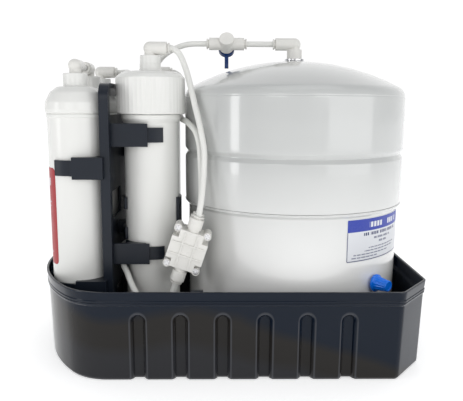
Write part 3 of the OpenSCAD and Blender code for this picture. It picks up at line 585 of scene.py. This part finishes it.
def tray_levels():
    """The wall's section, from the outside of the floor over the rim to the inside: how far in
    from the rim, the height, and whether the channels shape it."""
    top = TRAY.high.z
    band = top - TRAY_BAND
    outside = soften([(16, 0), (6.5, 0, 0.5), (4.4, 2.6, 2.5), (1.9, band - 1.2, 0.6),
                      (0.9, band, 0.5), (0.5, band + 1.4, 0.5), (1.1, band + 2.1, 0.4),
                      (0.5, band + 2.9, 0.5), (0.4, band + 4.4, 0.6), (0.9, band + 5.2, 0.5),
                      (0.0, top - 1.2, 1.0), (0.2, top, 0.6), (2.3, top, 0.6),
                      (2.8, top - 1.4, 0.8), (3.2, band + 1.5, 0.8), (4.4, band - 1.5, 0.8)])
    walls = [(inset, z, True) for inset, z in outside]
    fine = []
    for a, b in zip(walls, walls[1:]):
        count = max(1, round(abs(b[1] - a[1]) / TRAY_ROW))
        fine += [(a[0] + (b[0] - a[0]) * k / count, a[1] + (b[1] - a[1]) * k / count, True)
                 for k in range(count)]
    low_in, low_z = 6.7, TRAY_FLOOR_Z + 0.1
    start = walls[-1]
    fine += [(start[0] + (low_in - start[0]) * k / TRAY_INNER_ROWS,
              start[1] + (low_z - start[1]) * k / TRAY_INNER_ROWS, True)
             for k in range(TRAY_INNER_ROWS + 1)]
    return fine + [(12, TRAY_FLOOR_Z, False), (16, TRAY_FLOOR_Z, False)]


def make_tray(plastic):
    """The tray's moulding, with channels pressed into its long walls."""
    shape = Shape()
    outline = tray_outline()
    rows = []
    for inset, z, shaped in tray_levels():
        row = []
        for point, normal in outline:
            push = inset
            if shaped and abs(normal.y) > 0.999:
                push += channel_depth(point.x, z)
            spot = point - normal * push
            row.append(Vector((spot.x, spot.y, z)))
        rows.append(row)
    shape.grid(rows)
    count = len(outline)
    shape.faces.append(tuple(range(count - 1, -1, -1)))
    shape.faces.append(tuple(range(len(shape.points) - count, len(shape.points))))
    top = TRAY.high.z
    for inward in (1, -1):
        side = Matrix.Translation((TRAY_TAB_X - 6, -inward * (TRAY.high.y - 4.6), 0)) @ Matrix(
            ((0, 0, 1, 0), (inward, 0, 0, 0), (0, 1, 0, 0), (0, 0, 0, 1)))
        shape.slab([(0, 20), (8.8, 20), (8.8, top - 2), (7.8, top - 1), (4.5, top - 1),
                    (0, top - 18)], 0, 12, side)
    shape.piece("tray_moulding", plastic, ["base_tray"], slot="tray_plastic", sharp=50)


# ---------- tank ----------

TANK = Box("tank_upper_shell")
LOWER_TANK = Box("tank_lower_shell")
TANK_R = TANK.size.x / 2
TANK_TOP = TANK.high.z
LOWER_R = TANK_R - 4
SEAM_Z = LOWER_TANK.high.z
GROOVE_Z = 223
SHOULDER_R = 15
SHOULDER_Z = 283
LINE_RISE = 2.4           # the press left a fine line round the foot of the shoulder
LINE_DEPTH = 0.25


def tank_crown():
    """The dome and shoulder, from the middle out, tangent to each other and to the side."""
    run = TANK_R - SHOULDER_R
    rise = TANK_TOP - SHOULDER_Z
    radius = (run ** 2 + rise ** 2 - SHOULDER_R ** 2) / (2 * (rise - SHOULDER_R))
    centre_z = TANK_TOP - radius
    lean = math.atan2(run, SHOULDER_Z - centre_z)
    dome = [(radius * math.sin(lean * k / 40), centre_z + radius * math.cos(lean * k / 40))
            for k in range(41)]
    shoulder = []
    for k in range(1, 61):
        a = lean + (math.pi / 2 - lean) * k / 60
        height = SHOULDER_R * math.cos(a)
        out = SHOULDER_R - LINE_DEPTH * math.exp(-((height - LINE_RISE) / 0.5) ** 2)
        shoulder.append((run + out * math.sin(a), SHOULDER_Z + out * math.cos(a)))
    return dome + shoulder


def make_tank(paint):
    """The painted shells, the upper one with its groove and the lower one with its hem."""
    axis = standing(TANK.mid.x, 0)
    groove = soften([(TANK_R, SHOULDER_Z - 6), (TANK_R + 0.3, GROOVE_Z + 12, 6),
                     (TANK_R - 0.1, GROOVE_Z + 4.6, 2.5), (TANK_R - 2.9, GROOVE_Z + 0.4, 1.8),
                     (TANK_R - 2.9, GROOVE_Z - 0.4, 1.8), (TANK_R - 0.2, GROOVE_Z - 4.8, 3),
                     (TANK_R - 0.1, GROOVE_Z - 16, 5), (TANK_R - 0.2, SEAM_Z + 8)], 8)
    side = [(min(r, TANK_R), z) for r, z in groove]
    end = soften([side[-1], (TANK_R - 0.3, SEAM_Z + 0.2, 0.5), (TANK_R - 2, SEAM_Z + 0.2)])
    Shape().turned(tank_crown() + side + end[1:], axis, 192).piece(
        "tank_upper_skin", paint, ["tank_upper_shell"], slot="tank_paint", sharp=60)
    bottom = [(LOWER_R - 30 + 30 * math.cos(a), LOWER_TANK.low.z + 30 + 30 * math.sin(a))
              for a in (math.radians(-90 * k / 12) for k in range(13))]
    hem = soften([(LOWER_R - 1.5, SEAM_Z), (TANK_R + 0.3, SEAM_Z, 0.5),
                  (TANK_R + 0.3, SEAM_Z - 1.0, 0.5), (TANK_R - 1.1, SEAM_Z - 1.5, 0.4),
                  (TANK_R - 0.9, SEAM_Z - 2.6, 0.5), (TANK_R - 2.2, SEAM_Z - 3.2, 0.6),
                  (LOWER_R, SEAM_Z - 5.5, 2), (LOWER_R, SEAM_Z - 14)])
    Shape().turned(hem + bottom + [(0, LOWER_TANK.low.z)], axis, 192).piece(
        "tank_lower_skin", paint, ["tank_lower_shell"], slot="tank_paint", sharp=60)


PAPER_THICK = 0.12


def curved_label(name, node, axis, radius, angles, heights, material, corner=3.0):
    """A thin printed sheet wrapped round an upright cylinder, with its own UV map."""
    columns, rows, fine = 60, 24, 6
    sweep = math.radians(angles[1] - angles[0])
    width, height = radius * sweep, heights[1] - heights[0]
    mesh = bpy.data.meshes.new(name)
    work = bmesh.new()
    layer = work.loops.layers.uv.new("label")

    def pull(u, v):
        """Moves a point of the sheet's edge in where the corners are round."""
        x, y = u * width, v * height
        near_x, near_y = min(x, width - x), min(y, height - y)
        if near_x < corner and near_y < corner:
            out = Vector((corner - near_x, corner - near_y))
            longest = max(out.x, out.y)
            out *= longest / max(out.length, 1e-6)
            x = corner - out.x if x < width / 2 else width - corner + out.x
            y = corner - out.y if y < height / 2 else height - corner + out.y
        return x / width, y / height

    def spread(i, n, size):
        """Even steps, with finer ones inside the rounded corners."""
        edge = corner / size
        if i <= fine:
            return edge * i / fine
        if i >= n - fine:
            return 1 - edge * (n - i) / fine
        return edge + (1 - 2 * edge) * (i - fine) / (n - 2 * fine)

    grid = []
    for j in range(rows + 1):
        line = []
        for i in range(columns + 1):
            u, v = pull(spread(i, columns, width), spread(j, rows, height))
            a = math.radians(angles[0]) + sweep * u
            spot = Vector((axis.x + radius * math.cos(a), axis.y + radius * math.sin(a),
                           heights[0] + height * v))
            line.append((work.verts.new(spot * MM), (u, v)))
        grid.append(line)
    for j in range(rows):
        for i in range(columns):
            corners = (grid[j][i], grid[j][i + 1], grid[j + 1][i + 1], grid[j + 1][i])
            face = work.faces.new([c[0] for c in corners])
            for loop, c in zip(face.loops, corners):
                loop[layer].uv = c[1]
    work.to_mesh(mesh)
    work.free()
    mesh.shade_smooth()
    mesh.materials.append(material)
    piece = bpy.data.objects.new(name, mesh)
    bpy.context.scene.collection.objects.link(piece)
    thickness = piece.modifiers.new("paper", "SOLIDIFY")
    thickness.thickness = PAPER_THICK * MM
    thickness.offset = -1
    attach(piece, UNIT)
    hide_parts(node)


# ---------- filters and membrane ----------

FILTER_WALL = 30.4
FILTER_BOSS = 12.6


def filter_profile(box):
    """The outside of an inline filter, from the top boss down to the low one."""
    wall, top_boss = FILTER_WALL, FILTER_BOSS
    high, low = 264, 70
    rim, band = wall + 1.7, wall + 1.2
    return soften([
        (6.2, 296), (6.2, 307, 0.4), (top_boss - 0.4, 307, 0.8), (top_boss, 306, 0.4),
        (top_boss, 293.8, 1.0), (19, 293, 3), (26.5, 287.5, 8), (rim - 0.5, 277.5, 7), (rim, 270, 2),
        (rim - 0.3, high + 2.6, 0.5), (wall + 0.1, high + 2.0, 0.3), (wall + 0.1, high + 1.3, 0.3),
        (band, high + 0.8, 0.4), (band, high - 1.7, 0.5), (wall, high - 2.3, 0.5),
        (wall - 0.05, (high + low) / 2, 0), (wall, low + 2, 0.5), (wall - 0.6, low, 0.5),
        (wall, low - 2, 0.5), (wall, 58, 6), (20, 42, 5), (top_boss, 40, 1.2),
        (top_boss, box.low.z + 1, 0.4), (top_boss - 0.6, box.low.z, 0.4), (4, box.low.z)])


def make_filters(plastic):
    for name in ("sediment", "carbon", "block", "post"):
        node = f"{name}_filter_housing"
        box = Box(node)
        Shape().turned(filter_profile(box), standing(box.mid.x, box.mid.y), 96).piece(
            f"{name}_filter_skin", plastic, [node], slot="housing_white")


MEMBRANE = Box("membrane_housing")
MEMBRANE_CAP = Box("membrane_cap")
CAP_RIBS = 48


def cap_ripple(angle, r, z):
    """The grip ribs on the membrane cap's skirt."""
    skirt = MEMBRANE_CAP.low.z + 1.2 < z < MEMBRANE_CAP.low.z + 37 and r > 34
    if not skirt:
        return 0
    wave = 0.5 + 0.5 * math.cos(angle * CAP_RIBS)
    return 0.22 * wave ** 2


def make_membrane(plastic):
    axis = standing(MEMBRANE.mid.x, MEMBRANE.mid.y)
    base, top = MEMBRANE_CAP.low.z, 308
    r = MEMBRANE_CAP.size.x / 2 - 1
    cap = soften([(30, base + 0.2), (r - 0.6, base, 0.6), (r, base + 1.6, 0.3), (r, base + 2, 0),
                  (r, base + 12, 0), (r, base + 24, 0), (r, base + 36, 0), (r, base + 38, 1),
                  (r - 3, top - 1.2, 3), (28, top + 1.8, 6), (12.3, top + 3.2, 1),
                  (11.3, top + 5, 0.6), (11.3, 318, 0.2), (10.9, 318.6, 0.2), (10.9, 325.8, 0.4),
                  (10.4, 327, 0.5), (6.1, 327, 0.3), (6.1, 318)], 6)
    Shape().turned(cap, axis, CAP_RIBS * 12, cap_ripple).piece(
        "membrane_cap_skin", plastic, ["membrane_cap"], slot="housing_white", sharp=60)
    body_r, collar = 29.6, 32
    body = soften([(26, base - 0.4), (collar - 0.4, base - 0.4, 0.5), (collar, base - 1.2, 0.3),
                   (collar, base - 4.8, 1.2), (body_r, base - 9, 2.5),
                   (body_r, base - 16, 0), (body_r, 60, 2), (body_r, 44, 5), (22, 36, 4), (0, 36)], 6)
    shape = Shape().turned(body, axis, 96)
    for side in (-13, 13):
        port = soften([(8.5, 40), (8.5, 28, 0.6), (7.8, 27.2, 0.4), (4, 27.2)])
        shape.turned(port, standing(MEMBRANE.mid.x + side, MEMBRANE.mid.y), 32)
    shape.piece("membrane_housing_skin", plastic, ["membrane_housing"], slot="housing_white")


# ---------- labels ----------

TANK_LABEL_SIZE = (101.6, 45)
TANK_LABEL_ANGLES = (-69, -21.5)
TANK_LABEL_HEIGHTS = (116, 161)
FILTER_LABEL_SIZE = (35.6, 103)
FILTER_LABEL_ANGLES = (165, 232)
FILTER_LABEL_HEIGHTS = (107, 210)


def make_tank_label():
    """The tank's paper label: a blue band, a thin border and broken lines instead of words."""
    ink = printed_label("tank_label_print", [
        (DARK_INK, border(TANK_LABEL_SIZE, 0.5, 0.8),
         [(22, 86, 26.6, 29.8), (38, 70, 22, 24.2), (47, 62, 17.6, 19.8), (30, 84, 12.6, 13.9),
          (24, 80, 9.6, 10.9), (9, 66, 6.4, 7.7), (6, 44, 3.4, 4.7)]),
        (BLUE_INK, [(0.6, 101, 31.6, 44.4)], []),
        (PAPER, [], [(30, 56, 35, 40.6), (64, 90, 35, 40.6)])], PAPER, TANK_LABEL_SIZE)
    curved_label("tank_label_sheet", "tank_label", Vector((TANK.mid.x, 0)), LOWER_R + 0.25,
                 TANK_LABEL_ANGLES, TANK_LABEL_HEIGHTS, ink)


def make_filter_label():
    """The front filter's red label, with a few broken lines instead of words."""
    box = Box("sediment_filter_housing")
    ink = printed_label("filter_label_print", [
        (RED_INK, [(0, 36, 0, 103)], []),
        (PAPER, [], [(16, 25, 84, 92), (20, 26, 66, 67.6), (20, 25, 62, 63.2),
                     (20, 26, 12, 13.6)])], PAPER, FILTER_LABEL_SIZE)
    curved_label("filter_label_sheet", "sediment_filter_label",
                 Vector((box.mid.x, box.mid.y)), FILTER_WALL + 0.1, FILTER_LABEL_ANGLES,
                 FILTER_LABEL_HEIGHTS, ink, 5.0)


# ---------- small blue parts ----------

AIR_VALVE_ANGLE = -50.3
AIR_VALVE_Z = 90
AIR_CAP_GRIPS = 14


def grip_ripple(angle, r, z):
    """Grip ribs along the air cap's cone."""
    if r < 5 or not 6.4 < z < 19:
        return 0
    return -0.45 * (0.5 - 0.5 * math.cos(angle * AIR_CAP_GRIPS)) ** 2


def make_air_cap(plastic):
    """The pull-off cap on the air valve: a flange, then a ribbed cone with a dished end."""
    place = (standing(TANK.mid.x, 0, AIR_VALVE_Z)
             @ Matrix.Rotation(math.radians(AIR_VALVE_ANGLE), 4, "Z")
             @ Matrix.Translation((LOWER_R, 0, 0)) @ Matrix.Rotation(math.pi / 2, 4, "Y"))
    profile = soften([(4.1, 3.5), (4.1, 2.5, 0.4), (9.2, 2.5, 0.6), (9.4, 5.0, 0.8), (8.0, 5.6, 0.6),
                      (7.6, 6.6, 0), (7.2, 9, 0), (6.5, 14, 0), (5.9, 18.6, 0), (5.7, 19.9, 0.8),
                      (4.2, 19.9, 0.5), (3.9, 19.2, 0.4), (0, 19.2)], 4)
    Shape().turned(profile, place, AIR_CAP_GRIPS * 10, grip_ripple).piece(
        "air_cap_skin", plastic, ["air_valve_cap"], body="air_cap", slot="blue_plastic")


# ---------- finish of the CAD nodes that stay ----------

def dress_nodes(materials):
    """Gives every CAD node that stays the material of its slot."""
    slots = {s["node"]: s["material_slot"] for s in frame["record"]["subparts"]}
    for node, slot in slots.items():
        data = frame["nodes"][node].data
        data.materials.clear()
        data.materials.append(materials["lever" if node == "ball_valve_lever" else slot])


def make_materials():
    return {
        "tray_plastic": tray_plastic(),
        "bracket_plastic": moulded("bracket_plastic", (0.0105, 0.0145, 0.023), 0.34, 0.00002, 0.04,
                                   shine=0.3),
        "housing_white": moulded("housing_white", (0.79, 0.79, 0.765), 0.24, 0.00001, 0, 0.985,
                                 haze=0.03),
        "fitting_plastic": moulded("fitting_plastic", (0.78, 0.77, 0.735), 0.3, 0.00001, 0, 0.96),
        "tube_plastic": moulded("tube_plastic", (0.8, 0.8, 0.77), 0.32, 0.00001, 0, 0.96, 0),
        "blue_plastic": moulded("blue_plastic", (0.002, 0.21, 1.0), 0.24, 0.00001, 0, 0.85),
        "lever": moulded("lever_plastic", (0.004, 0.035, 0.16), 0.28, 0.00001, 0, 0.85),
        # painted shade high up, painted light low down where the tray shades the tank
        "tank_paint": painted_steel("tank_paint", (0.55, 0.56, 0.552), (0.92, 0.92, 0.905)),
        "plated_steel": bare_metal("plated_steel", (0.72, 0.72, 0.73), 0.22),
        "pin_brass": bare_metal("pin_brass", (0.76, 0.56, 0.27), 0.25),
        "bladder_rubber": rubber("bladder_rubber", (0.03, 0.03, 0.032)),
        "element_wrap": moulded("element_wrap", (0.75, 0.8, 0.86), 0.4),
        "sediment_media": rubber("sediment_media", (0.5, 0.48, 0.42)),
        "carbon_media": rubber("carbon_media", (0.02, 0.02, 0.02)),
        "label_paper": moulded("label_paper", PAPER, 0.4),
        "red_label": moulded("red_label", (0.6, 0.02, 0.03), 0.35),
    }


# ---------- light and floor ----------

FRONT_GLOW = (0.43, 0.437, 0.45)
BACK_GLOW = (1.04, 1.04, 1.04)
GLOW_FROM, GLOW_TO = 0.1, 0.88
FLOOR_REACH = 9.0
WINDOW_AWAY = 1.9
WINDOW_Z, WINDOW_AIM_Z = 0.78, 0.44
WINDOW_H = 0.8
PANE_W, MULLION_W = 0.28, 0.05
WINDOW_TINT = (1.0, 0.99, 0.97)


def area_light(name, place, target, size, power, tint=(1, 1, 1)):
    data = bpy.data.lights.new(name, "AREA")
    data.shape = "RECTANGLE"
    data.size, data.size_y = size
    data.energy = power
    data.color = tint
    light = bpy.data.objects.new(name, data)
    light.location = place
    light.rotation_euler = (Vector(target) - Vector(place)).to_track_quat("-Z", "Y").to_euler()
    bpy.context.scene.collection.objects.link(light)


def make_world():
    """Soft surroundings: bright behind the object, dimmer in front of it and overhead."""
    world = bpy.data.worlds.new("studio")
    world.use_nodes = True
    tree = world.node_tree
    place = tree.nodes.new("ShaderNodeTexCoord")
    axes = tree.nodes.new("ShaderNodeSeparateXYZ")
    depth = tree.nodes.new("ShaderNodeMapRange")
    depth.interpolation_type = "SMOOTHSTEP"
    depth.inputs["From Min"].default_value = GLOW_FROM
    depth.inputs["From Max"].default_value = GLOW_TO
    mix = tree.nodes.new("ShaderNodeMix")
    mix.data_type = "RGBA"
    mix.inputs[6].default_value = (*FRONT_GLOW, 1)
    mix.inputs[7].default_value = (*BACK_GLOW, 1)
    tree.links.new(place.outputs["Generated"], axes.inputs[0])
    tree.links.new(axes.outputs["Y"], depth.inputs["Value"])
    tree.links.new(depth.outputs["Result"], mix.inputs[0])
    tree.links.new(mix.outputs[2], tree.nodes["Background"].inputs[0])
    bpy.context.scene.world = world


def make_window(name, turn, power):
    """A tall window of two panes in front of the object, turned aside by some degrees."""
    away = math.radians(turn)
    for side in (-1, 1):
        shift = side * (PANE_W + MULLION_W) / 2
        place = (WINDOW_AWAY * math.sin(away) + shift * math.cos(away),
                 -WINDOW_AWAY * math.cos(away) + shift * math.sin(away), WINDOW_Z)
        aim = (shift * math.cos(away), shift * math.sin(away), WINDOW_AIM_Z)
        area_light(f"{name}_{side}", place, aim, (PANE_W, WINDOW_H), power, WINDOW_TINT)


def make_studio():
    """A pale floor that runs out of sight, and soft light from above, both sides and the front."""
    mesh = bpy.data.meshes.new("floor")
    reach = FLOOR_REACH
    mesh.from_pydata([(-reach, -reach, 0), (reach, -reach, 0), (reach, reach, 0),
                      (-reach, reach, 0)], [], [(0, 1, 2, 3)])
    n = Nodes("floor")
    n.colour(n.mix(n.remap(n.noise(2, 2), 0, 1), (0.91, 0.91, 0.91), (0.93, 0.93, 0.93)))
    n.set(Roughness=0.7, Emission_Color=(1, 1, 1, 1), Emission_Strength=0.5)
    mesh.materials.append(n.material)
    floor = bpy.data.objects.new("floor", mesh)
    bpy.context.scene.collection.objects.link(floor)
    make_world()
    middle = (0, 0, 0.2)
    area_light("overhead", (0.15, -0.3, 1.6), middle, (1.3, 0.9), 2.2)
    area_light("side_fill", (1.6, -1.2, 0.5), (0.15, 0, 0.08), (1.8, 1.1), 8)
    area_light("side_strip", (-1.5, -0.75, 0.4), (-0.05, 0, 0.08), (0.3, 0.9), 3.5)
    make_window("window_left", -20, 1.7)
    make_window("window_right", 24, 1.7)
    bpy.context.scene.view_settings.view_transform = "Standard"


# ---------- build ----------

make_camera()
MATERIALS = make_materials()
tube("membrane_feed_line", "membrane_feed_tube", MEMBRANE_FEED, MATERIALS["tube_plastic"])
tube("tank_line", "tank_line_tube", TANK_LINE, MATERIALS["tube_plastic"])
tube("product_line", "product_tube", PRODUCT, MATERIALS["tube_plastic"])
tube("feed_line", "feed_tube", FEED, MATERIALS["tube_plastic"])
tube("tank_link", "tank_link_tube", TANK_LINK, MATERIALS["tube_plastic"])
tube("filter_link", "filter_link_tube", FILTER_LINK, MATERIALS["tube_plastic"])
dress_nodes(MATERIALS)
make_tray(MATERIALS["tray_plastic"])
make_tank(MATERIALS["tank_paint"])
make_filters(MATERIALS["housing_white"])
make_membrane(MATERIALS["housing_white"])
make_air_cap(MATERIALS["blue_plastic"])

make_tank_label()
make_filter_label()
make_studio()
